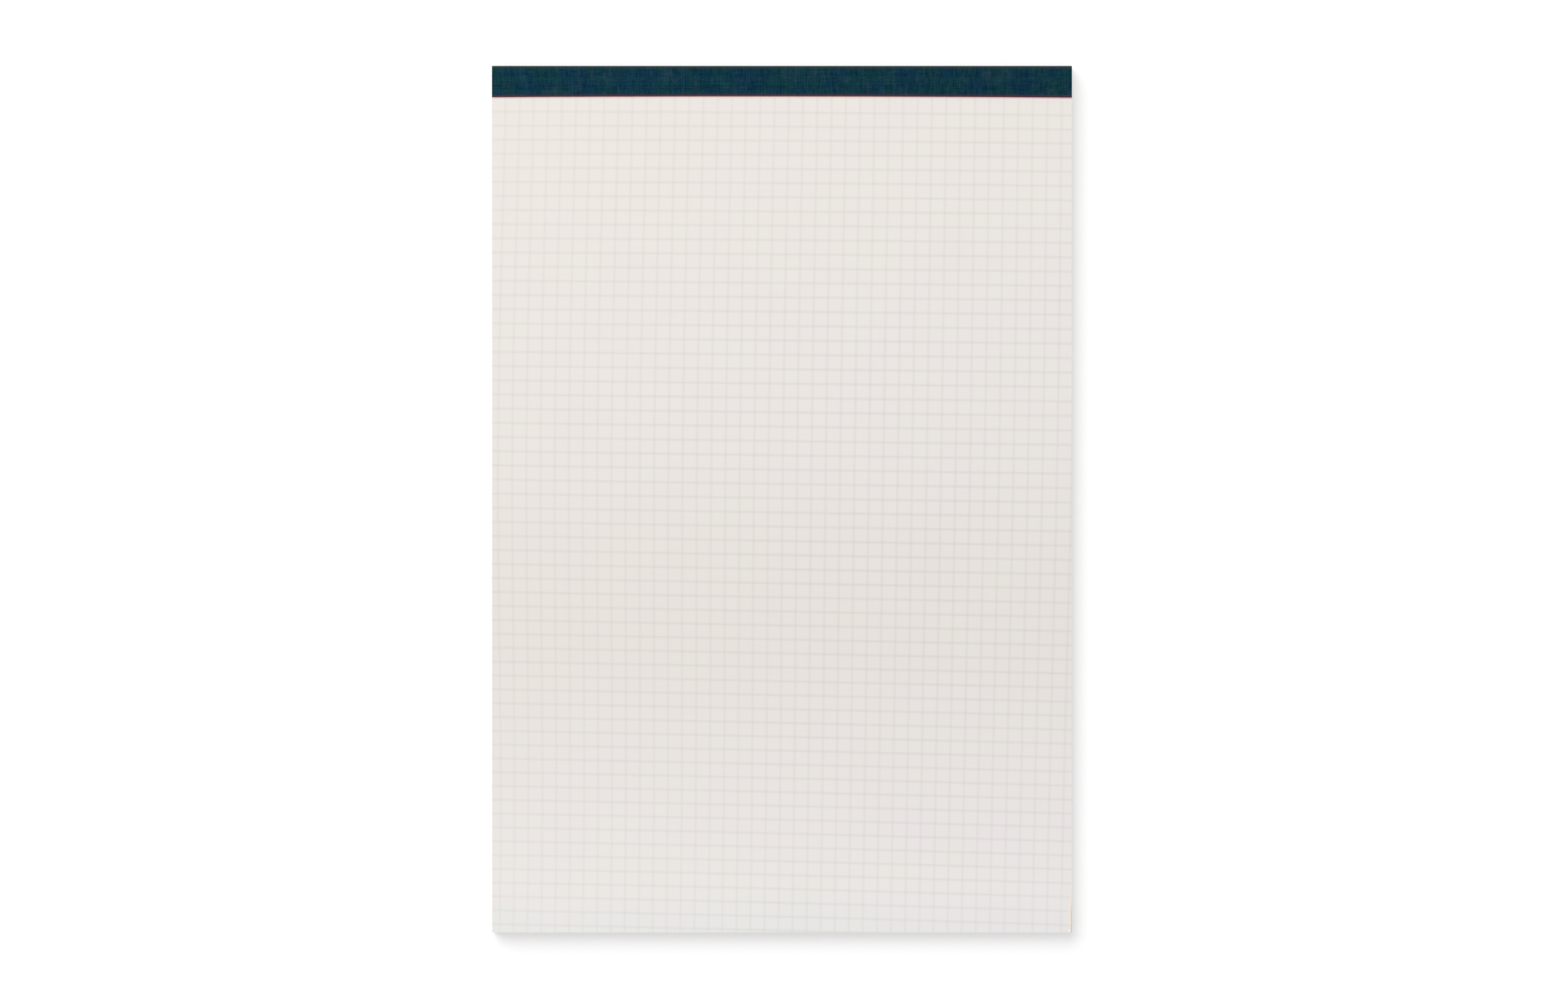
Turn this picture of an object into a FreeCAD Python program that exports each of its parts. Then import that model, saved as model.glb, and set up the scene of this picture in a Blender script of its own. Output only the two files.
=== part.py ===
"""Legal pad: squared sheets on a chipboard back, glued along the head and bound there in cloth tape.

The pad lies on its back, as it does on a desk. Millimetres. +Z is up, +Y points to the bound head and +X
to the right of the page. The origin is in the middle of the pad's outline, level with the desk.

The board lies flat on the desk and climbs on to the tape's back flap at the head. The sheets follow it,
so every layer keeps its thickness from the tail to the head.
"""

import FreeCAD
import Part
import Sketcher
import os

SIZES = {
    "pad_width": 203.2,
    "pad_length": 303.8,
    "sheet_count": 50,
    "sheet_thickness": 0.1,
    "board_thickness": 1.0,
    "glue_thickness": 0.25,
    "tape_thickness": 0.3,
    "front_flap": 10.7,
    "back_flap": 12.5,
    "fold_radius": 0.2,
    "climb_run": 90.0,
    "slit_below_tape": 0.7,
    "slit_length": 0.9,
    "slit_width": 0.08,
    "slit_tie": 0.5,
}

# Places along the pad, from the tail to the outside of the binding.
TAIL = "-sizes.pad_length / 2"
CLIMB_END = "sizes.pad_length / 2 - max(sizes.front_flap; sizes.back_flap)"
CLIMB_START = f"{CLIMB_END} - sizes.climb_run"
FRONT_EDGE = "sizes.pad_length / 2 - sizes.front_flap"
BACK_EDGE = "sizes.pad_length / 2 - sizes.back_flap"
GLUE_FACE = "sizes.pad_length / 2 - sizes.tape_thickness"
STACK_HEAD = f"{GLUE_FACE} - sizes.glue_thickness"
HEAD = "sizes.pad_length / 2"
SLIT_LINE = f"{FRONT_EDGE} - sizes.slit_below_tape"

# Heights above the desk. The last two are at the head, where the stack lies on the tape.
DESK = "0"
BLOCK_THICKNESS = "sizes.sheet_count * sizes.sheet_thickness"
STACK_UNDERSIDE = "sizes.tape_thickness"
STACK_TOP = f"sizes.tape_thickness + sizes.board_thickness + {BLOCK_THICKNESS}"

# The tape turns round the glue, so its fold can't be wider than the glue is thick.
INNER_FOLD = "min(sizes.fold_radius; 0.9 * sizes.glue_thickness)"
OUTER_FOLD = f"{INNER_FOLD} + sizes.tape_thickness"

# The perforation, a row of slits centred on the page.
SLIT_PITCH = "(sizes.slit_length + sizes.slit_tie)"
SLIT_COUNT = f"floor((sizes.pad_width - sizes.slit_tie) / {SLIT_PITCH})"
SLIT_ROW = f"(({SLIT_COUNT} - 1) * {SLIT_PITCH})"


def make_sheet(doc):
    """The sheet of driving sizes, one to a row, each under its own alias."""
    sheet = doc.addObject("Spreadsheet::Sheet", "sizes")
    for row, (alias, value) in enumerate(SIZES.items(), start=1):
        sheet.set(f"A{row}", alias)
        sheet.set(f"B{row}", str(value))
        sheet.setAlias(f"B{row}", alias)
    doc.recompute()


def new_sketch(body, name, plane):
    """An empty sketch on one of the body's own origin planes."""
    sketch = body.newObject("Sketcher::SketchObject", name)
    support = next(f for f in body.Origin.OriginFeatures if f.Role == plane)
    sketch.AttachmentSupport = [(support, "")]
    sketch.MapMode = "FlatFace"
    return sketch


def bind(sketch, constraint, name, expression):
    """Adds a dimension to the sketch and ties it to an expression on the sheet."""
    index = sketch.addConstraint(constraint)
    sketch.renameConstraint(index, name)
    sketch.setExpression(f"Constraints.{name}", expression)


def draw_outline(sketch, corners):
    """A closed outline of straight lines, with every corner pinned to its two expressions."""
    points = [FreeCAD.Vector(*map(sketch.evalExpression, corner), 0) for corner in corners]
    for start, end in zip(points, points[1:] + points[:1]):
        sketch.addGeometry(Part.LineSegment(start, end), False)
    for line, (along, up) in enumerate(corners):
        before = (line - 1) % len(corners)
        sketch.addConstraint(Sketcher.Constraint("Coincident", before, 2, line, 1))
        here = points[line]
        bind(sketch, Sketcher.Constraint("DistanceX", -1, 1, line, 1, here.x), f"along{line}", along)
        bind(sketch, Sketcher.Constraint("DistanceY", -1, 1, line, 1, here.y), f"up{line}", up)


def round_corner(sketch, corner, radius):
    """Rounds the outline's corner where line number `corner` starts."""
    size = sketch.evalExpression(radius)
    sketch.fillet(corner - 1, 2, size, True, True)
    arc = max(i for i, shape in enumerate(sketch.Geometry) if isinstance(shape, Part.ArcOfCircle))
    bind(sketch, Sketcher.Constraint("Radius", arc, size), f"bend{corner}", radius)


def pad_across(body, sketch):
    """Runs a section from edge to edge of the page."""
    pad = body.newObject("PartDesign::Pad", f"{body.Label}_pad")
    pad.Profile = sketch
    pad.SideType = "Symmetric"
    pad.setExpression("Length", "sizes.pad_width")
    return pad


def make_layer(doc, label, underside, thickness):
    """A layer of the stack: flat on what it lies on, up the climb, then flat again over the tape's flap."""
    body = doc.addObject("PartDesign::Body", label)
    lower = [
        (TAIL, underside),
        (CLIMB_START, underside),
        (CLIMB_END, f"{underside} + sizes.tape_thickness"),
        (STACK_HEAD, f"{underside} + sizes.tape_thickness"),
    ]
    upper = [(along, f"{up} + {thickness}") for along, up in reversed(lower)]
    sketch = new_sketch(body, f"{label}_section", "YZ_Plane")
    draw_outline(sketch, lower + upper)
    pad_across(body, sketch)
    return body


def cut_perforation(doc, body):
    """The row of slits just below the tape, along which a sheet tears off."""
    sketch = new_sketch(body, "slit", "XY_Plane")
    left = f"-{SLIT_ROW} / 2 - sizes.slit_length / 2"
    right = f"-{SLIT_ROW} / 2 + sizes.slit_length / 2"
    lower = f"{SLIT_LINE} - sizes.slit_width / 2"
    upper = f"{SLIT_LINE} + sizes.slit_width / 2"
    draw_outline(sketch, [(left, lower), (right, lower), (right, upper), (left, upper)])
    doc.recompute()

    slit = body.newObject("PartDesign::Pocket", "first_slit")
    slit.Profile = sketch
    slit.SideType = "Symmetric"
    slit.Type = "ThroughAll"
    doc.recompute()

    row = body.newObject("PartDesign::LinearPattern", "perforation")
    row.Originals = [slit]
    row.Direction = (next(f for f in body.Origin.OriginFeatures if f.Role == "X_Axis"), [""])
    row.setExpression("Length", SLIT_ROW)
    row.setExpression("Occurrences", SLIT_COUNT)
    body.Tip = row


def make_glue(doc):
    """The film of padding glue that holds the heads of the sheets and the board together."""
    body = doc.addObject("PartDesign::Body", "padding_glue")
    sketch = new_sketch(body, "glue_section", "YZ_Plane")
    draw_outline(
        sketch,
        [
            (STACK_HEAD, STACK_UNDERSIDE),
            (GLUE_FACE, STACK_UNDERSIDE),
            (GLUE_FACE, STACK_TOP),
            (STACK_HEAD, STACK_TOP),
        ],
    )
    for corner in (1, 2):
        round_corner(sketch, corner, INNER_FOLD)
    pad_across(body, sketch)
    return body


def make_tape(doc):
    """The cloth tape: a flap on the face, the spine over the glued head, and a flap under the board."""
    body = doc.addObject("PartDesign::Body", "binding_tape")
    sketch = new_sketch(body, "tape_section", "YZ_Plane")
    draw_outline(
        sketch,
        [
            (FRONT_EDGE, f"{STACK_TOP} + sizes.tape_thickness"),
            (HEAD, f"{STACK_TOP} + sizes.tape_thickness"),
            (HEAD, DESK),
            (BACK_EDGE, DESK),
            (BACK_EDGE, STACK_UNDERSIDE),
            (GLUE_FACE, STACK_UNDERSIDE),
            (GLUE_FACE, STACK_TOP),
            (FRONT_EDGE, STACK_TOP),
        ],
    )
    for corner in (1, 2):
        round_corner(sketch, corner, OUTER_FOLD)
    for corner in (5, 6):
        round_corner(sketch, corner, INNER_FOLD)
    pad_across(body, sketch)
    return body


def check(doc, bodies):
    """Stops before anything is written if a feature failed or a piece isn't one sound solid."""
    for item in doc.Objects:
        if {"Invalid", "Error"} & set(item.State):
            raise RuntimeError(f"{item.Label} failed: {item.State}")
    for body in bodies:
        if body.Shape.isNull() or not body.Shape.isValid() or len(body.Shape.Solids) != 1:
            raise RuntimeError(f"{body.Label} isn't one valid solid")


def main():
    doc = FreeCAD.newDocument("legal_pad")
    make_sheet(doc)
    board = make_layer(doc, "backing_board", DESK, "sizes.board_thickness")
    block = make_layer(doc, "paper_block", "sizes.board_thickness", BLOCK_THICKNESS)
    cut_perforation(doc, block)
    glue = make_glue(doc)
    tape = make_tape(doc)
    doc.recompute()

    bodies = [board, block, glue, tape]
    check(doc, bodies)
    os.makedirs("parts", exist_ok=True)
    for body in bodies:
        body.Shape.exportStep(f"parts/{body.Label}.step")
        print(body.Label, round(body.Shape.Volume, 1), "mm3")


main()
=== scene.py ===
import bpy
import math
import random
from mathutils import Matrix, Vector


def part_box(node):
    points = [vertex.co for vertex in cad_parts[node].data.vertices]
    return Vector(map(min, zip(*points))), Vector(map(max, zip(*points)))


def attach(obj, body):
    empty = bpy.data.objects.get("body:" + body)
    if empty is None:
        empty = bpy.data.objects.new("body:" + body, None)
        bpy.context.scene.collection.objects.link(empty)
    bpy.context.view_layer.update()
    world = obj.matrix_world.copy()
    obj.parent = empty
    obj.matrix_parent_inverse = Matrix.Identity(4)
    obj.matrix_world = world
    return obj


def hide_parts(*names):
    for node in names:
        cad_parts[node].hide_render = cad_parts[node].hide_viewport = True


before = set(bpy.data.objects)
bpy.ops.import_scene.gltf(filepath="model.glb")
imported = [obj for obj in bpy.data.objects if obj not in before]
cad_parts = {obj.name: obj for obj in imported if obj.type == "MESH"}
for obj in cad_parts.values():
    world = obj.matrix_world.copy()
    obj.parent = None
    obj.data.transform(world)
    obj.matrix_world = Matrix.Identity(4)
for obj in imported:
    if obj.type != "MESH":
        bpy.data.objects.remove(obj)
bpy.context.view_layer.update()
mm = 0.001

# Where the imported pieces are. The glue stands on the tape's back flap, so its foot gives the thickness of
# the tape.
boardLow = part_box("backing_board")[0]
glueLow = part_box("padding_glue")[0]
blockLow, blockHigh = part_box("paper_block")
tapeLow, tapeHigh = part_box("binding_tape")
tapeThickness = glueLow.z
padWidth = tapeHigh.x - tapeLow.x
padLength = tapeHigh.y - boardLow.y


def fromScreen(red, green, blue):
    # a colour as a screen shows it, 0 to 255, turned into the light that the renderer counts in
    channels = [value / 255 for value in (red, green, blue)]
    return [c / 12.92 if c <= 0.04045 else ((c + 0.055) / 1.055) ** 2.4 for c in channels] + [1]


class Wire:
    # an output socket that can be added, multiplied and so on, each sum being a Math node

    def __init__(self, bench, socket):
        self.bench = bench
        self.socket = socket

    def maths(self, operation, *values):
        return self.bench.node("ShaderNodeMath", {"operation": operation}, dict(enumerate(values)))

    def __add__(self, other):
        return self.maths("ADD", self, other)

    def __radd__(self, other):
        return self.maths("ADD", other, self)

    def __sub__(self, other):
        return self.maths("SUBTRACT", self, other)

    def __rsub__(self, other):
        return self.maths("SUBTRACT", other, self)

    def __mul__(self, other):
        return self.maths("MULTIPLY", self, other)

    def __rmul__(self, other):
        return self.maths("MULTIPLY", other, self)

    def __truediv__(self, other):
        return self.maths("DIVIDE", self, other)

    def __abs__(self):
        return self.maths("ABSOLUTE", self)

    def floor(self):
        return self.maths("FLOOR", self)

    def fraction(self):
        return self.maths("FRACT", self)

    def least(self, other):
        return self.maths("MINIMUM", self, other)

    def most(self, other):
        return self.maths("MAXIMUM", self, other)


class Bench:
    # a node tree, shader or geometry, and the one way in which nodes are put on it

    def __init__(self, tree):
        self.tree = tree
        tree.nodes.clear()

    def find(self, sockets, key):
        if isinstance(key, int):
            return sockets[key]
        return next(s for s in sockets if s.name == key and s.enabled)

    def feed(self, socket, value):
        if isinstance(value, (list, tuple)) and value and isinstance(value[0], Wire):
            for one in value:
                self.tree.links.new(one.socket, socket)
        elif isinstance(value, Wire):
            self.tree.links.new(value.socket, socket)
        else:
            socket.default_value = value

    def node(self, kind, settings=None, sockets=None, out=0):
        made = self.tree.nodes.new(kind)
        for name, value in (settings or {}).items():
            if name == "stops":
                self.setStops(made.color_ramp, value)
            else:
                setattr(made, name, value)
        for key, value in (sockets or {}).items():
            self.feed(self.find(made.inputs, key), value)
        return Wire(self, self.find(made.outputs, out)) if made.outputs else made

    def setStops(self, ramp, stops):
        while len(ramp.elements) < len(stops):
            ramp.elements.new(1)
        for element, (place, colour) in zip(ramp.elements, stops):
            element.position = place
            element.color = colour

    def split(self, vector):
        parts = self.node("ShaderNodeSeparateXYZ", {}, {0: vector}, "X").socket.node
        return [Wire(self, parts.outputs[axis]) for axis in "XYZ"]

    def join(self, x, y, z):
        return self.node("ShaderNodeCombineXYZ", {}, {"X": x, "Y": y, "Z": z})

    def ease(self, value, start, end):
        # 0 at the start, 1 at the end, and smooth between them
        settings = {"interpolation_type": "SMOOTHSTEP"}
        sockets = {"Value": value, "From Min": start, "From Max": end}
        if start > end:
            sockets = {"Value": value, "From Min": end, "From Max": start, "To Min": 1, "To Max": 0}
        return self.node("ShaderNodeMapRange", settings, sockets)

    def blend(self, share, first, second, how="MIX"):
        settings = {"data_type": "RGBA", "blend_type": how}
        return self.node("ShaderNodeMix", settings, {0: share, 6: first, 7: second}, 2)

    def noise(self, place, size, detail=2, roughness=0.5):
        # cloudy noise, whose clouds are about as large as the size, in metres
        sockets = {"Vector": place, "Scale": 1 / size, "Detail": detail, "Roughness": roughness}
        return self.node("ShaderNodeTexNoise", {}, sockets)

    def dice(self, number):
        # a random number from 0 to 1 for each number that comes in
        return self.node("ShaderNodeTexWhiteNoise", {"noise_dimensions": "1D"}, {"W": number}, "Value")

    def scatter(self, low, high, number, seed):
        # a random number between the two limits for each numbered thing of a geometry
        sockets = {"Min": low, "Max": high, "ID": number, "Seed": seed}
        return self.node("FunctionNodeRandomValue", {"data_type": "FLOAT"}, sockets, "Value")

    def stretch(self, place, x, y, z):
        return self.node("ShaderNodeVectorMath", {"operation": "MULTIPLY"}, {0: place, 1: (x, y, z)})

    def grey(self, value):
        return self.join(value, value, value)


def startMaterial(name):
    material = bpy.data.materials.new(name)
    material.use_nodes = True
    return material, Bench(material.node_tree)


def finishMaterial(bench, colour, height, look):
    bump = bench.node("ShaderNodeBump", {}, {"Strength": 1, "Distance": look["relief"], "Height": height})
    surface = bench.node("ShaderNodeBsdfPrincipled", {}, {
        "Base Color": colour,
        "Roughness": look["roughness"],
        "Specular IOR Level": look["specular"],
        "Normal": bump,
    })
    bench.node("ShaderNodeOutputMaterial", {}, {"Surface": surface})


def addPiece(name, mesh, material, slot, *nodes):
    piece = bpy.data.objects.new(name, mesh)
    bpy.context.scene.collection.objects.link(piece)
    mesh.materials.clear()
    mesh.materials.append(material)
    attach(piece, "root")
    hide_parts(*nodes)
    return piece


def coverNode(name, material):
    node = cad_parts[name]
    node.data.materials.clear()
    node.data.materials.append(material)


# The cloth tape's front flap is cut a little wide at both ends.
flap = {
    "middle": 10.54 * mm,  # its width halfway along the head
    "slant": 0.00079,      # how much wider it gets for every metre to the right
    "bow": 0.039,          # and for the square of the metres from the middle
}


def flapWidth(x):
    # works on a number and on a shader's wire alike
    return x * x * flap["bow"] + x * flap["slant"] + flap["middle"]


# Paper
pageLook = {
    "left": (1.016, 1.016, 1.009, 1),     # painted light falloff: the paper is a little darker and cooler at the right, where the light is weaker
    "right": (0.984, 0.984, 0.991, 1),
    "yellower": (0.999, 1.002, 0.986, 1),   # and it varies between these two in patches
    "pinker": (1.005, 0.996, 1.002, 1),
    "patchSize": 18 * mm,
    "patchSquash": 1.6,      # how much wider than high a patch is
    "patchRange": (0.35, 0.65),
    "cloud": 0.016,          # how much the paper's shade wanders, over a few centimetres
    "cloudSize": 26 * mm,
    "tooth": 0.036,          # and from fibre to fibre
    "toothSize": 0.5 * mm,
    "toothRoughness": 0.65,
    "creep": 0.75 * mm,      # how far the crept dye and glue, and the painted shade under the tape's edge, reach out from under the cloth
    "creepStart": 0.05 * mm,
    "creepDepth": 0.04 * mm,   # less than a sheet, so that only the top one shows it
    # pinkish and darker: the crept dye and glue, with painted shade under the tape's edge
    "creptDyeAndShade": fromScreen(220, 172, 167),
    "roughness": 0.86,
    "specular": 0.25,
    "relief": 0.012 * mm,
}

pageTones = [                # the paper's colour up the page, tail first: partly its own tone and partly painted light falloff, lighter towards the head
    (0.000, fromScreen(231, 229.8, 228.6)),
    (0.055, fromScreen(233.4, 230.2, 227.8)),
    (0.160, fromScreen(232.4, 227.4, 225.3)),
    (0.330, fromScreen(230, 225, 220.9)),
    (0.450, fromScreen(231, 226, 222)),
    (0.530, fromScreen(232.9, 227.9, 224.8)),
    (0.680, fromScreen(234.6, 229.7, 226.6)),
    (0.900, fromScreen(236, 231.1, 226.4)),
]

printLook = {
    "line": 1.6 * mm,        # how wide a printed line is, soft edges included
    "ink": (0.81, 0.80, 0.78, 1),   # what is left of the paper's colour under full ink
    "rowInk": 0.365,         # share of full ink in the lines across the page, and in the lines up it
    "columnInk": 0.285,
    "strength": 0.66,        # of the weakest print in the middle of the page
    "broken": 0.5,           # how much stronger it is in spots, and in patches
    "brokenSize": 1.6 * mm,
    "patchy": 0.34,
    "patchSize": 45 * mm,
    "toRight": 0.9,          # how much stronger the print gets, a metre to the right
    "toCorner": 8,           # and how much weaker towards the corners, per metre squared
    "firstRow": 1.2 * mm,    # no line runs across the page nearer to the tape than this
}

# The squares are printed a little askew, and their lines wander in one wave over the page's length. Each of
# these says how far a spot is along the run of lines, in millimetres: so much in the middle of the page, so
# much more for every millimetre to the right of it and up from it, and so much for the wave's two halves.
# What is named Right grows with the distance to the right as well, and what is named Twice with its square.
square = 5.0
columnLines = {
    "middle": -0.424, "right": 1.00236, "up": -0.01299, "rightUp": -5.0e-5, "rightTwice": -7.53e-5,
    "sine": 0.179, "sineRight": -0.00339,
    "cosine": 0.244, "cosineRight": -0.0062, "cosineTwice": 0,
}
rowLines = {
    "middle": -1.146, "right": 0.01595, "up": 1.01175, "rightUp": -6.83e-5, "rightTwice": 1.46e-5,
    "sine": -0.544, "sineRight": -0.00163,
    "cosine": 0.827, "cosineRight": -0.00028, "cosineTwice": -2.18e-5,
}


def printedLines(bench, u, v, lines):
    # 1 in the middle of each line, falling softly to 0 at its sides
    turn = v * (2 * math.pi * mm / padLength)
    run = u * (u * lines["rightTwice"] + v * lines["rightUp"] + lines["right"]) + v * lines["up"]
    run = run + turn.maths("SINE", turn) * (u * lines["sineRight"] + lines["sine"])
    crest = u * (u * lines["cosineTwice"] + lines["cosineRight"]) + lines["cosine"]
    run = run + turn.maths("COSINE", turn) * crest
    count = (run + lines["middle"]) / square
    offLine = abs((count + 0.5).fraction() - 0.5) * (square * mm)
    return bench.ease(offLine, printLook["line"] / 2, 0)


def printedSquares(bench, place, x, y, belowTape):
    # how much ink there is at a spot, up to 1. The print is weaker at the left and towards the corners.
    broken = bench.noise(place, printLook["brokenSize"], 2)
    patchy = bench.noise(place, printLook["patchSize"], 1)
    strength = printLook["strength"] + broken * printLook["broken"] + patchy * printLook["patchy"]
    strength = strength + x * printLook["toRight"] - (x * x + y * y) * printLook["toCorner"]
    columns = printedLines(bench, x / mm, y / mm, columnLines) * strength
    rows = printedLines(bench, x / mm, y / mm, rowLines) * strength
    rows = rows * bench.ease(belowTape, printLook["firstRow"], printLook["firstRow"] * 2)
    return 1 - (1 - columns * printLook["columnInk"]) * (1 - rows * printLook["rowInk"])


def paperColour(bench, place, x, y):
    # partly painted light falloff: the tone ramp is lighter towards the head
    tone = bench.node("ShaderNodeValToRGB", {"stops": pageTones}, {"Fac": y / padLength + 0.5})
    # painted light falloff: the side blend darkens the page towards the right
    side = bench.blend(x / padWidth + 0.5, pageLook["left"], pageLook["right"])
    patch = bench.noise(bench.stretch(place, 1, pageLook["patchSquash"], 1), pageLook["patchSize"], 2)
    tint = bench.blend(bench.ease(patch, *pageLook["patchRange"]), pageLook["yellower"], pageLook["pinker"])
    return bench.blend(1, bench.blend(1, tone, side, "MULTIPLY"), tint, "MULTIPLY")


edgeLook = {                 # the cut edges of the sheets, against the page
    "shade": 0.84,
    "ownShade": 0.12,        # how much lighter one sheet's edge can be than another's
    "streak": 0.1,           # and how strong the upright streaks are that the knife has left
    "streakSize": 0.6 * mm,
    "streakSquash": 0.04,
}


def cutEdges(bench, place):
    sheet = bench.node("ShaderNodeAttribute", {"attribute_name": "sheet"}, {}, "Fac")
    streak = bench.noise(bench.stretch(place, 1, 1, edgeLook["streakSquash"]), edgeLook["streakSize"], 3)
    return edgeLook["shade"] + bench.dice(sheet) * edgeLook["ownShade"] + streak * edgeLook["streak"]


cornerWearAndShade = {               # the lower right corner: its wear, and a line of soil and painted shade along its edge
    "rubbed": fromScreen(238, 227, 216),   # a strip up the side
    "rubbedWidth": 1.15 * mm,
    "rubbedSoft": 0.4 * mm,
    "rubbedLength": 14.5 * mm,
    "rubbedFade": 4 * mm,
    "chip": fromScreen(244, 242, 238),     # a ragged chip at the strip's foot
    "chipFromSide": 0.75 * mm,
    "chipFromTail": 0.65 * mm,
    "chipReach": 1.0 * mm,
    "chipSoft": 0.6 * mm,
    "chipRagged": 0.4 * mm,
    "soiled": fromScreen(210, 190, 175),   # the edge itself, partly soil and partly painted shade where the board's edge lies in the gap beside the sheets, darker at the very tail
    "edgeSoilAndShadeTail": fromScreen(190, 169, 154),
    "tailLength": 3.4 * mm,
    "tailFade": 1 * mm,
    "soiledWidth": 0.33 * mm,
    "soiledSoft": 0.12 * mm,
    "soiledLength": 12.5 * mm,
    "soiledFade": 7 * mm,
    "edgeSoilAndShadeSides": 0.4,      # how much of the soil and painted shade shows on the cut edges
}


def wearAndShadeCorner(bench, paper, x, y, flat, tooth):
    look = cornerWearAndShade
    fromSide, fromTail = padWidth / 2 - x, y - blockLow.y

    def strip(kind):
        width, length = look[kind + "Width"], look[kind + "Length"]
        across = bench.ease(fromSide, width, width - look[kind + "Soft"])
        return across * bench.ease(fromTail, length, length - look[kind + "Fade"])

    paper = bench.blend(strip("rubbed") * flat, paper, look["rubbed"])
    offChip = abs(fromSide - look["chipFromSide"]) + abs(fromTail - look["chipFromTail"])
    offChip = offChip + tooth * look["chipRagged"]
    chip = bench.ease(offChip, look["chipReach"], look["chipReach"] - look["chipSoft"])
    paper = bench.blend(chip * flat, paper, look["chip"])
    # a brown line along the edge: partly soil, partly painted shade of the board's edge beside the sheets,
    # darker at the very tail
    nearTail = bench.ease(fromTail, look["tailLength"], look["tailLength"] - look["tailFade"])
    edgeSoilAndShadeTone = bench.blend(nearTail, look["soiled"], look["edgeSoilAndShadeTail"])
    shown = flat * (1 - look["edgeSoilAndShadeSides"]) + look["edgeSoilAndShadeSides"]
    return bench.blend(strip("soiled") * shown, paper, edgeSoilAndShadeTone)


def paintPaper():
    material, bench = startMaterial("squaredPaper")
    place = bench.node("ShaderNodeTexCoord", {}, {}, "Object")
    x, y, z = bench.split(place)
    belowTape = tapeHigh.y - flapWidth(x) - y
    cloud = bench.noise(place, pageLook["cloudSize"], 3)
    tooth = bench.noise(place, pageLook["toothSize"], 3, pageLook["toothRoughness"])
    shade = 1 + (cloud - 0.5) * pageLook["cloud"] + (tooth - 0.5) * pageLook["tooth"]

    # 1 on the face of a sheet and 0 on its cut edges
    facing = bench.node("ShaderNodeNewGeometry", {}, {}, "Normal")
    flat = bench.ease(abs(bench.split(facing)[2]), 0.4, 0.7)
    shade = shade * (flat + cutEdges(bench, place) * (1 - flat))
    paper = bench.blend(1, paperColour(bench, place, x, y), bench.grey(shade), "MULTIPLY")
    ink = printedSquares(bench, place, x, y, belowTape)
    paper = bench.blend(ink * flat, paper, printLook["ink"], "MULTIPLY")

    # the dye and the glue have crept a little way out from under the cloth, and a painted shade lies along
    # the tape's edge with them, on the top sheet alone
    depth = pageLook["creepDepth"]
    topmost = bench.ease(z, blockHigh.z - depth * 2, blockHigh.z - depth)
    creptDyeAndShade = bench.ease(belowTape, pageLook["creep"], pageLook["creepStart"]) * topmost
    paper = bench.blend(creptDyeAndShade * flat, paper, pageLook["creptDyeAndShade"])

    paper = wearAndShadeCorner(bench, paper, x, y, flat, tooth)
    finishMaterial(bench, paper, tooth, pageLook)
    return material


# The stack of sheets. Each is a thin closed slab with its own row of slits below the tape.
stack = {
    "sheets": 50,
    "gap": 0.008 * mm,           # air between two sheets
    "slip": 0.03 * mm,           # how far a sheet is off its neighbours after trimming
    "drift": 0.06 * mm,          # how far the pile leans to and fro on its way up
    "driftRate": 0.13,           # turns of the drift from sheet to sheet
    "tidySheets": 6,             # over how many sheets the drift fades out at the top of the pile
    "twist": 0.0002,             # radians
    "climbRun": 90 * mm,         # where the sheets rise towards the tape's back flap
    "slitsFromHead": 11.4 * mm,
    "slitLength": 0.9 * mm,
    "slitWidth": 0.02 * mm,
    "slitTie": 0.5 * mm,
    "stripTail": 1.5 * mm,       # how far the slit strip reaches below the slits
    "pageRows": 72,
    "rowCrowding": 1.5,          # how much closer together the rows are at the tail, 1 being even
    "cornerRun": 8.5 * mm,       # the knocked lower right corner: the higher a sheet, the more it gives way
    "cornerFull": 0.4,           # share of that run, from the tail, along which it gives way the most
    "cornerInset": 0.1 * mm,
    "rightEdge": 0.49,           # share of the width beyond which a point is on the right edge
    "weld": 0.001 * mm,
    "seed": 7,
}


def startTree(name, inputs):
    tree = bpy.data.node_groups.new(name, "GeometryNodeTree")
    kinds = {int: "NodeSocketInt", float: "NodeSocketFloat"}
    for label, value in inputs.items():
        socket = tree.interface.new_socket(label, in_out="INPUT", socket_type=kinds[type(value)])
        socket.default_value = value
    tree.interface.new_socket("Geometry", in_out="OUTPUT", socket_type="NodeSocketGeometry")
    bench = Bench(tree)
    source = bench.node("NodeGroupInput").socket.node
    return bench, {label: Wire(bench, source.outputs[label]) for label in inputs}


def growMesh(name, tree, values):
    # runs a tree on an empty object and keeps what it made as a plain mesh
    bed = bpy.data.objects.new(name + "Bed", bpy.data.meshes.new(name + "Bed"))
    bpy.context.scene.collection.objects.link(bed)
    modifier = bed.modifiers.new("grow", "NODES")
    modifier.node_group = tree
    for item in tree.interface.items_tree:
        if item.in_out == "INPUT":
            modifier[item.identifier] = values[item.name]
    graph = bpy.context.evaluated_depsgraph_get()
    mesh = bpy.data.meshes.new_from_object(bed.evaluated_get(graph))
    bed.modifiers.remove(modifier)
    bpy.data.objects.remove(bed)
    mesh.name = name
    return mesh


def rectangle(bench, width, height, x, y):
    curve = bench.node("GeometryNodeCurvePrimitiveQuadrilateral", {}, {"Width": width, "Height": height})
    return bench.node("GeometryNodeTransform", {}, {"Geometry": curve, "Translation": bench.join(x, y, 0)})


def wander(bench, number, rate, start):
    # from -1 to 1, and nearly the same for two sheets that lie together
    sockets = {"W": number * rate + start, "Scale": 1, "Detail": 1}
    return bench.node("ShaderNodeTexNoise", {"noise_dimensions": "1D"}, sockets) * 2 - 1


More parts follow.
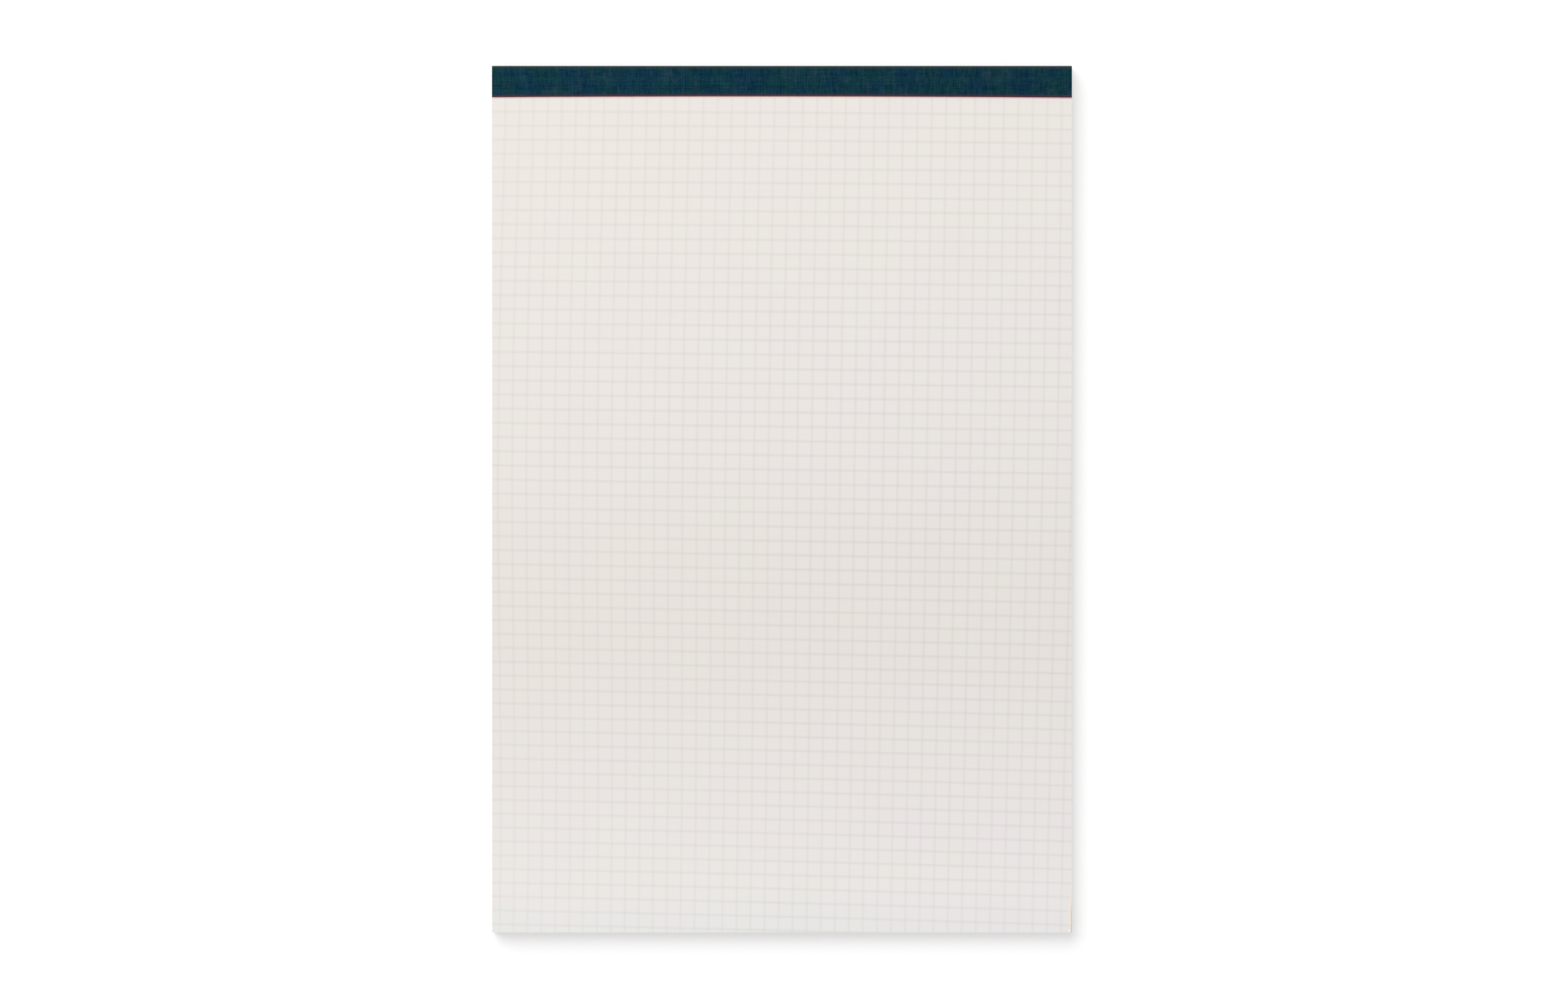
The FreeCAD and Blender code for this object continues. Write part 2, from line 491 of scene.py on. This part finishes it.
def makeStackTree(material, inputs):
    bench, given = startTree("sheetStack", inputs)
    width, tail, head = given["Width"], given["Tail"], given["Head"]
    seam = given["Slit Line"] - given["Strip Tail"]

    # the page below the strip is a ladder of plain rows, closer together near the tail
    ladder = bench.node("GeometryNodeMeshGrid", {}, {
        "Size X": width, "Size Y": 1, "Vertices X": 2, "Vertices Y": given["Page Rows"]})
    x, y = bench.split(bench.node("GeometryNodeInputPosition"))[:2]
    share = (y + 0.5).most(0)
    up = tail + (seam - tail) * share.maths("POWER", share, stack["rowCrowding"])
    page = bench.node("GeometryNodeSetPosition", {}, {"Geometry": ladder, "Position": bench.join(x, up, 0)})

    # the strip at the head is filled round its row of slits
    pitch = given["Slit Length"] + given["Slit Tie"]
    count = ((width - given["Slit Tie"]) / pitch).floor()
    first = bench.join((count - 1) * pitch * -0.5, given["Slit Line"], 0)
    row = bench.node("GeometryNodeMeshLine", {}, {
        "Count": count, "Start Location": first, "Offset": bench.join(pitch, 0, 0)})
    slit = rectangle(bench, given["Slit Length"], given["Slit Width"], 0, 0)
    slits = bench.node("GeometryNodeInstanceOnPoints", {}, {"Points": row, "Instance": slit})
    slits = bench.node("GeometryNodeRealizeInstances", {}, {"Geometry": slits})
    outline = rectangle(bench, width, head - seam, 0, (head + seam) * 0.5)
    curves = bench.node("GeometryNodeJoinGeometry", {}, {"Geometry": [outline, slits]})
    strip = bench.node("GeometryNodeFillCurve", {"mode": "TRIANGLES"}, {"Curve": curves})

    joined = bench.node("GeometryNodeJoinGeometry", {}, {"Geometry": [page, strip]})
    face = bench.node("GeometryNodeMergeByDistance", {}, {"Geometry": joined, "Distance": stack["weld"]})

    # one sheet: the face, its walls and its underside
    raised = bench.node("GeometryNodeExtrudeMesh", {"mode": "FACES"}, {
        "Mesh": face, "Offset": (0, 0, 1), "Offset Scale": given["Sheet Thickness"], "Individual": False})
    under = bench.node("GeometryNodeFlipFaces", {}, {"Mesh": face})
    slab = bench.node("GeometryNodeJoinGeometry", {}, {"Geometry": [raised, under]})
    slab = bench.node("GeometryNodeMergeByDistance", {}, {"Geometry": slab, "Distance": stack["weld"]})

    # the pile, every sheet with its own small slip and twist. The top sheet is in its place, and the others
    # keep to the left of it and nearer to the head.
    pile = bench.node("GeometryNodeMeshLine", {}, {
        "Count": given["Sheets"],
        "Start Location": bench.join(0, 0, given["Bottom"]),
        "Offset": bench.join(0, 0, given["Pitch"])})
    number = bench.node("GeometryNodeInputIndex")
    pile = bench.node("GeometryNodeStoreNamedAttribute", {"data_type": "FLOAT", "domain": "POINT"}, {
        "Geometry": pile, "Name": "sheet", "Value": number})
    fromTop = given["Sheets"] - 1 - number
    drift = [abs(wander(bench, number, given["Drift Rate"], start)) * given["Drift"] for start in (0, 50)]
    slip = [bench.scatter(0, given["Slip"], number, given["Seed"] + k) for k in (0, 1)]
    loose = bench.ease(fromTop, 0, stack["tidySheets"])
    below = fromTop.least(1)
    toLeft = drift[0] * loose + slip[0] * below
    toHead = drift[1] * loose + slip[1] * below
    shift = bench.join(toLeft * -1, toHead, 0)
    pile = bench.node("GeometryNodeSetPosition", {}, {"Geometry": pile, "Offset": shift})
    turn = given["Twist"]
    twist = bench.scatter(turn * -1, turn, number, given["Seed"] + 2) * below
    sheets = bench.node("GeometryNodeInstanceOnPoints", {}, {
        "Points": pile, "Instance": slab, "Rotation": bench.join(0, 0, twist)})
    sheets = bench.node("GeometryNodeRealizeInstances", {}, {"Geometry": sheets})

    # every layer climbs on to the tape's back flap, and the knocked corner is pushed in
    x, y, z = bench.split(bench.node("GeometryNodeInputPosition"))
    share = bench.node("ShaderNodeMapRange", {}, {
        "Value": y, "From Min": given["Climb Start"], "From Max": given["Climb End"]})
    full = tail + (given["Corner Top"] - tail) * stack["cornerFull"]
    corner = bench.node("ShaderNodeMapRange", {}, {
        "Value": y, "From Min": given["Corner Top"], "From Max": full})
    corner = corner * (z - given["Bottom"]) / (given["Pitch"] * given["Sheets"])
    edge = width * stack["rightEdge"]
    right = bench.node("FunctionNodeCompare", {"operation": "GREATER_THAN"}, {0: x, 1: edge})
    bend = bench.join(corner * right * given["Corner Inset"] * -1, 0, share * given["Climb"])
    sheets = bench.node("GeometryNodeSetPosition", {}, {"Geometry": sheets, "Offset": bend})

    sheets = bench.node("GeometryNodeRealizeInstances", {}, {"Geometry": sheets})
    sheets = bench.node("GeometryNodeSetMaterial", {}, {"Geometry": sheets, "Material": material})
    bench.node("NodeGroupOutput", {}, {"Geometry": sheets})
    return bench.tree


def makeSheets(material):
    spare = stack["slip"] + stack["drift"] + stack["twist"] * padLength / 2
    pitch = (blockHigh.z - blockLow.z - tapeThickness) / stack["sheets"]
    values = {
        "Sheets": stack["sheets"],
        "Pitch": pitch,
        "Sheet Thickness": pitch - stack["gap"],
        "Width": blockHigh.x - blockLow.x,
        "Tail": blockLow.y,
        "Head": blockHigh.y - spare,
        "Bottom": blockLow.z,
        "Page Rows": stack["pageRows"],
        "Strip Tail": stack["stripTail"],
        "Slit Line": tapeHigh.y - stack["slitsFromHead"],
        "Slit Length": stack["slitLength"],
        "Slit Width": stack["slitWidth"],
        "Slit Tie": stack["slitTie"],
        "Slip": stack["slip"],
        "Drift": stack["drift"],
        "Drift Rate": stack["driftRate"],
        "Twist": stack["twist"],
        "Climb Start": tapeLow.y - stack["climbRun"],
        "Climb End": tapeLow.y,
        "Climb": tapeThickness,
        "Corner Top": blockLow.y + stack["cornerRun"],
        "Corner Inset": stack["cornerInset"],
        "Seed": stack["seed"],
    }
    mesh = growMesh("sheet_stack", makeStackTree(material, values), values)
    addPiece("sheet_stack", mesh, material, "paper", "paper_block")


# Cloth tape
clothTape = {
    "foldRadius": 0.5 * mm,    # outside of the fold
    "columns": 160,
    "flapSteps": 18,
    "foldSteps": 6,
    "spineSteps": 8,
    "backSteps": 12,
    "crowding": 1.5,           # how much closer together the steps are at a cut edge, 1 being even
    "pressedEdge": 0.25,       # share of its thickness that a cut edge loses under the press
    "pressedRun": 0.5 * mm,
    "wobble": 0.015 * mm,      # how uneven a cut edge is
    "seed": 3,
}


def foldLengths():
    # how much cloth one fold takes, and how much runs straight down the spine between the two
    arc = (clothTape["foldRadius"] - tapeThickness / 2) * math.pi / 2
    return arc, tapeHigh.z - 2 * clothTape["foldRadius"]


def foldStations(foldY, foldZ, firstAngle, start):
    # a quarter turn round the middle of one fold, from the angle at which the cloth comes to it
    middle = clothTape["foldRadius"] - tapeThickness / 2
    arc = foldLengths()[0]
    stations = []
    for step in range(1, clothTape["foldSteps"] + 1):
        share = step / clothTape["foldSteps"]
        angle = firstAngle - math.pi / 2 * share
        outY, outZ = math.cos(angle), math.sin(angle)
        stations.append((foldY + middle * outY, foldZ + middle * outZ, outY, outZ, start + arc * share))
    return stations


def tapeSection(edgeY):
    # stations on the middle of the cloth, from one cut edge to the other: along the pad, up, the outward
    # direction, the length along the cloth from the first fold, and the distance from the nearer cut edge
    half = tapeThickness / 2
    bend = clothTape["foldRadius"]
    arc, spine = foldLengths()
    foldY = tapeHigh.y - bend
    frontWidth = foldY - edgeY
    backWidth = foldY - tapeLow.y
    secondFold = frontWidth + arc + spine
    whole = secondFold + arc + backWidth

    stations = []
    for step in range(clothTape["flapSteps"] + 1):
        along = frontWidth * (step / clothTape["flapSteps"]) ** clothTape["crowding"]
        stations.append((edgeY + along, tapeHigh.z - half, 0, 1, along))
    stations += foldStations(foldY, tapeHigh.z - bend, math.pi / 2, frontWidth)
    for step in range(1, clothTape["spineSteps"] + 1):
        down = spine * step / clothTape["spineSteps"]
        stations.append((tapeHigh.y - half, tapeHigh.z - bend - down, 1, 0, frontWidth + arc + down))
    stations += foldStations(foldY, bend, 0, secondFold)
    for step in range(1, clothTape["backSteps"] + 1):
        along = backWidth * (1 - (1 - step / clothTape["backSteps"]) ** clothTape["crowding"])
        stations.append((foldY - along, half, 0, -1, secondFold + arc + along))
    rows = [(y, z, outY, outZ, s - frontWidth, min(s, whole - s)) for y, z, outY, outZ, s in stations]
    return rows, whole


def makeTape(material):
    dice = random.Random(clothTape["seed"])
    columns = clothTape["columns"]
    wobbles = [dice.uniform(-1, 1) * clothTape["wobble"] for _ in range(columns + 1)]
    half = tapeThickness / 2
    points, weave, fromCut = [], [], []
    for column in range(columns + 1):
        x = tapeLow.x + padWidth * column / columns
        edgeY = tapeHigh.y - flapWidth(x) + wobbles[column]
        section, whole = tapeSection(edgeY)
        for side in (1, -1):
            for y, z, outY, outZ, along, cut in section:
                pressed = clothTape["pressedEdge"] * max(0, 1 - cut / clothTape["pressedRun"]) ** 2
                out = half * (1 - 2 * pressed) if side == 1 else -half
                points.append((x, y + outY * out, z + outZ * out))
                weave.append((x, along))
                fromCut.append(cut)
    rows = len(section)
    ring = 2 * rows

    def corner(column, side, row):
        return column * ring + (0 if side == 1 else rows) + row

    faces = []
    for column in range(columns):
        for row in range(rows - 1):
            outer = [corner(column, 1, row), corner(column, 1, row + 1),
                corner(column + 1, 1, row + 1), corner(column + 1, 1, row)]
            inner = [corner(column, -1, row), corner(column + 1, -1, row),
                corner(column + 1, -1, row + 1), corner(column, -1, row + 1)]
            faces += [outer[::-1], inner[::-1]]
        for row in (0, rows - 1):
            end = [corner(column, 1, row), corner(column + 1, 1, row),
                corner(column + 1, -1, row), corner(column, -1, row)]
            faces.append(end[::-1] if row == 0 else end)
    for column in (0, columns):
        for row in range(rows - 1):
            end = [corner(column, 1, row), corner(column, -1, row),
                corner(column, -1, row + 1), corner(column, 1, row + 1)]
            faces.append(end[::-1] if column == 0 else end)

    mesh = bpy.data.meshes.new("cloth_tape")
    mesh.from_pydata(points, [], faces)
    layer = mesh.uv_layers.new(name="weave")
    for loop in mesh.loops:
        layer.data[loop.index].uv = weave[loop.vertex_index]
    distances = mesh.attributes.new("fromCut", "FLOAT", "POINT")
    distances.data.foreach_set("value", fromCut)
    mesh.update()
    piece = addPiece("cloth_tape", mesh, material, "cloth", "binding_tape")


clothLook = {
    "blue": fromScreen(8, 48.3, 67),   # the dye is bluer here and greener there
    "green": fromScreen(11, 53, 62.5),
    "dyeSize": 9 * mm,
    "dyeRange": (0.38, 0.62),
    "faded": fromScreen(25, 56, 68),   # and faded in small patches
    "fadedSize": 3.5 * mm,
    "fadedSquash": 0.6,
    "fadedRange": (0.5, 0.72),
    "thread": 0.46 * mm,
    "slub": 3.4 * mm,                  # how long a thick or thin stretch of a thread is
    "slubShare": 0.7,                  # how much of a thread's shade goes with those stretches
    "slubStep": 0.9,                   # from a thread to its neighbour in the noise they are read from
    "leastShade": 0.38,                # the shade of a dark thread's hollow, what paler threads add, and the painted light on each thread's proud crown
    "threadShade": 1.1,
    "crownLight": 0.16,
    "speck": 0.8,                      # how strong the specks are, and the streaks up and across
    "speckSize": 0.35 * mm,
    "speckHeight": 0.4,                # against the height of a thread
    "upStreak": 0.7,
    "acrossStreak": 0.5,
    "streakSize": 0.9 * mm,
    "streakSquash": 0.22,
    "fibres": 0.0134,                  # how much paler the pale threads and the painted-light crowns get, whatever their colour and how much darker the dark threads and the painted-shade hollows can get, as a share of that
    "fibresLeast": -0.3,               # and how much darker the hollows can get, as a share of that
    "fade": 0.7,                       # painted light falloff: how much darker the cloth gets, a metre to the right
    "worn": fromScreen(68, 65, 51),
    "wornShare": 0.55,
    "wornPatchy": 0.5,
    "wornWidth": 1.1 * mm,             # how far the wear reaches on each side of a fold
    "rim": fromScreen(84, 48, 61),     # red size, which shows at a cut edge
    "rimShare": 0.9,
    "rimStart": 0.05 * mm,
    "rimWidth": 1.35 * mm,
    "endShade": 0.35,                  # the tape's two ends are darker
    "endWidth": 0.45 * mm,
    "roughness": 0.85,
    "specular": 0.06,
    "relief": 0.05 * mm,
}


def wovenThreads(bench, weave):
    # a plain weave: how proud each spot is, and the shade of the thread that lies uppermost there
    u, v = bench.split(weave)[:2]
    across, along = u / clothLook["thread"], v / clothLook["thread"]
    column, row = across.floor(), along.floor()
    inColumn, inRow = across.fraction() - 0.5, along.fraction() - 0.5
    over = ((column + row) * 0.5).fraction() * 2
    over = over.maths("ROUND", over)
    crown = (1 - inColumn * inColumn * 4) * over + (1 - inRow * inRow * 4) * (1 - over)

    # each thread's own shade. The rows are read a little aside, or they would be the columns over again.
    step, slub, share = clothLook["slubStep"], clothLook["slub"], clothLook["slubShare"]
    slubColumn = bench.noise(bench.join(column * step, v / slub, 0), 1, 1)
    slubRow = bench.noise(bench.join(u / slub, row * step, 4), 1, 1)
    ownColumn = bench.dice(column) * (1 - share) + slubColumn * share
    ownRow = bench.dice(row + 0.37) * (1 - share) + slubRow * share
    return crown, ownColumn * over + ownRow * (1 - over)


def paintCloth():
    material, bench = startMaterial("bookCloth")
    look = clothLook
    weave = bench.node("ShaderNodeUVMap", {"uv_map": "weave"})
    along = bench.split(weave)[1]
    x = bench.split(bench.node("ShaderNodeTexCoord", {}, {}, "Object"))[0]

    dye = bench.noise(weave, look["dyeSize"], 1)
    colour = bench.blend(bench.ease(dye, *look["dyeRange"]), look["blue"], look["green"])
    faded = bench.noise(bench.stretch(weave, 1, look["fadedSquash"], 1), look["fadedSize"], 3)
    colour = bench.blend(bench.ease(faded, *look["fadedRange"]), colour, look["faded"])

    crown, threadTone = wovenThreads(bench, weave)
    squash = look["streakSquash"]
    speck = bench.noise(weave, look["speckSize"], 2)
    upStreak = bench.noise(bench.stretch(weave, 1, squash, 1), look["streakSize"], 2)
    acrossStreak = bench.noise(bench.stretch(weave, squash, 1, 1), look["streakSize"], 2)
    uneven = speck * look["speck"] + upStreak * look["upStreak"] + acrossStreak * look["acrossStreak"]
    # painted light on the threads' crowns and painted shade in their hollows, besides each thread's own
    # tone and the specks and streaks
    shade = look["leastShade"] + threadTone * look["threadShade"] + crown * look["crownLight"]
    shade = shade * uneven
    colour = bench.blend(1, colour, bench.grey(shade * (1 - x * look["fade"])), "MULTIPLY")
    fibres = ((shade - 1) * look["fibres"]).most(look["fibres"] * look["fibresLeast"])
    colour = bench.blend(1, colour, bench.grey(fibres), "ADD")

    # both folds are rubbed
    arc, spine = foldLengths()
    fromFold = abs(along - arc / 2).least(abs(along - (arc * 1.5 + spine)))
    worn = bench.ease(fromFold, look["wornWidth"], 0) * (1 + (speck - 0.5) * look["wornPatchy"])
    colour = bench.blend(worn * look["wornShare"], colour, look["worn"])

    # the cut edges show the red size that the cloth was coated with, and the two ends are dark
    fromCut = bench.node("ShaderNodeAttribute", {"attribute_name": "fromCut"}, {}, "Fac")
    rim = bench.ease(fromCut, look["rimWidth"], look["rimStart"])
    colour = bench.blend(rim * rim * look["rimShare"], colour, look["rim"])
    end = bench.ease(abs(x), padWidth / 2 - look["endWidth"], padWidth / 2)
    colour = bench.blend(1, colour, bench.grey(1 - end * (1 - look["endShade"])), "MULTIPLY")

    finishMaterial(bench, colour, crown + speck * look["speckHeight"], look)
    return material


# Chipboard and glue
boardLook = {
    "body": fromScreen(166, 148, 126),
    "shade": 0.84,
    "cloud": 0.2,              # how much the shade wanders, and varies along the felted fibres
    "cloudSize": 22 * mm,
    "felt": 0.14,
    "feltSize": 1.1 * mm,
    "feltSquash": 0.25,
    "feltRoughness": 0.65,
    "dark": fromScreen(112, 96, 80),
    "light": fromScreen(206, 192, 172),
    "fleckShare": 0.75,
    "fleckSquash": 0.45,
    "roughness": 0.9,
    "specular": 0.2,
    "relief": 0.05 * mm,
}

boardFlecks = [                # each kind's size, where in the noise it starts and is full, and its colour
    (0.7 * mm, 0.66, 0.72, "dark"),
    (0.9 * mm, 0.68, 0.74, "light"),
    (2.6 * mm, 0.70, 0.74, "dark"),
]


def paintChipboard():
    material, bench = startMaterial("greyBoard")
    look = boardLook
    place = bench.node("ShaderNodeTexCoord", {}, {}, "Object")
    cloud = bench.noise(place, look["cloudSize"], 4)
    fibres = bench.stretch(place, 1, look["feltSquash"], 1)
    felt = bench.noise(fibres, look["feltSize"], 4, look["feltRoughness"])
    shade = look["shade"] + cloud * look["cloud"] + felt * look["felt"]
    colour = bench.blend(1, look["body"], bench.grey(shade), "MULTIPLY")
    for size, low, high, tint in boardFlecks:
        fleck = bench.noise(bench.stretch(place, 1, look["fleckSquash"], 1), size, 2)
        colour = bench.blend(bench.ease(fleck, low, high) * look["fleckShare"], colour, look[tint])
    finishMaterial(bench, colour, felt, look)
    return material


glueLook = {
    "hollow": fromScreen(214, 205, 184),
    "lump": fromScreen(232, 226, 210),
    "lumpSize": 0.6 * mm,
    "roughness": 0.4,
    "specular": 0.5,
    "relief": 0.03 * mm,
}


def paintGlue():
    material, bench = startMaterial("paddingGlue")
    place = bench.node("ShaderNodeTexCoord", {}, {}, "Object")
    lump = bench.noise(place, glueLook["lumpSize"], 2)
    finishMaterial(bench, bench.blend(lump, glueLook["hollow"], glueLook["lump"]), lump, glueLook)
    return material


# Floor, light and camera
studio = {
    "key": 0.58,                 # share of the light that comes from the key lamp
    "toRight": 0.62,             # the key's slope to the right and towards the tail
    "toTail": 0.95,
    "keySize": math.radians(57),   # how wide it looks from the pad, which softens the shadows
    "floorShade": 0.56,          # how much of the light the floor shows, and its own glow under that
    "floorGlow": 0.503,
    "floorBounce": 0.9,          # how much of the light it throws on the pad
    "floorReach": 4,             # metres
    "floorDrop": 0.02 * mm,
}


def makeFloor():
    mesh = bpy.data.meshes.new("floor")
    reach, drop = studio["floorReach"], -studio["floorDrop"]
    corners = [(-reach, -reach, drop), (reach, -reach, drop), (reach, reach, drop), (-reach, reach, drop)]
    mesh.from_pydata(corners, [], [(0, 1, 2, 3)])
    floor = bpy.data.objects.new("floor", mesh)
    bpy.context.scene.collection.objects.link(floor)
    material, bench = startMaterial("paleFloor")
    seen = whatIsSeen(bench)
    shown = [studio["floorShade"]] * 3 + [1]
    bounced = [studio["floorBounce"]] * 3 + [1]
    diffuse = bench.node("ShaderNodeBsdfDiffuse", {}, {"Color": bench.blend(seen, bounced, shown)})
    glow = bench.node("ShaderNodeEmission", {}, {"Strength": seen * studio["floorGlow"]})
    both = bench.node("ShaderNodeAddShader", {}, {0: diffuse, 1: glow})
    bench.node("ShaderNodeOutputMaterial", {}, {"Surface": both})
    mesh.materials.append(material)


def whatIsSeen(bench):
    # 1 for what the camera sees, straight or in a shiny or clear surface
    rays = bench.node("ShaderNodeLightPath").socket.node
    camera, glossy, clear = [Wire(bench, rays.outputs[name]) for name in
        ("Is Camera Ray", "Is Glossy Ray", "Is Transmission Ray")]
    return (camera + glossy + clear).least(1)


def lightScene():
    world = bpy.data.worlds.new("studio")
    world.use_nodes = True
    bpy.context.scene.world = world
    bench = Bench(world.node_tree)
    fill = 1 - studio["key"]
    strength = whatIsSeen(bench) * (1 - fill) + fill
    background = bench.node("ShaderNodeBackground", {}, {"Color": (1, 1, 1, 1), "Strength": strength})
    bench.node("ShaderNodeOutputWorld", {}, {"Surface": background})

    travel = Vector((studio["toRight"], -studio["toTail"], -1)).normalized()
    lamp = bpy.data.lights.new("key", "SUN")
    lamp.energy = studio["key"] * math.pi / -travel.z
    lamp.angle = studio["keySize"]
    key = bpy.data.objects.new("key", lamp)
    key.rotation_mode = "QUATERNION"
    key.rotation_quaternion = travel.to_track_quat("-Z", "Y")
    bpy.context.scene.collection.objects.link(key)


view = {
    "imageWidth": 2408,      # pixels
    "imageHeight": 1516,
    "padLeft": 755.6,        # the pad's edges in the photo, in pixels
    "padRight": 1646.0,
    "padTop": 101.65,
    "padBottom": 1431.85,
    "lens": 120,             # millimetres
    "sensor": 36,
    "clipEnd": 10,           # metres
}


def placeCamera():
    data = bpy.data.cameras.new("camera")
    data.lens = view["lens"]
    data.sensor_width = view["sensor"]
    pixel = padWidth / (view["padRight"] - view["padLeft"])
    distance = pixel * view["imageWidth"] * view["lens"] / view["sensor"]
    right = (view["imageWidth"] - view["padLeft"] - view["padRight"]) / 2 * pixel
    up = (view["padTop"] + view["padBottom"] - view["imageHeight"]) / 2 * pixel
    camera = bpy.data.objects.new("camera", data)
    camera.location = (right, up, blockHigh.z + distance)
    data.clip_end = view["clipEnd"]
    bpy.context.scene.collection.objects.link(camera)
    bpy.context.scene.camera = camera


bpy.context.scene.view_settings.view_transform = "Standard"
placeCamera()
lightScene()
makeFloor()
print("stage: camera, light and floor are in place")
makeSheets(paintPaper())
print("stage: the sheets are stacked")
makeTape(paintCloth())
print("stage: the tape is folded over the head")
coverNode("backing_board", paintChipboard())
coverNode("padding_glue", paintGlue())
print("stage: the board and the glue are finished")
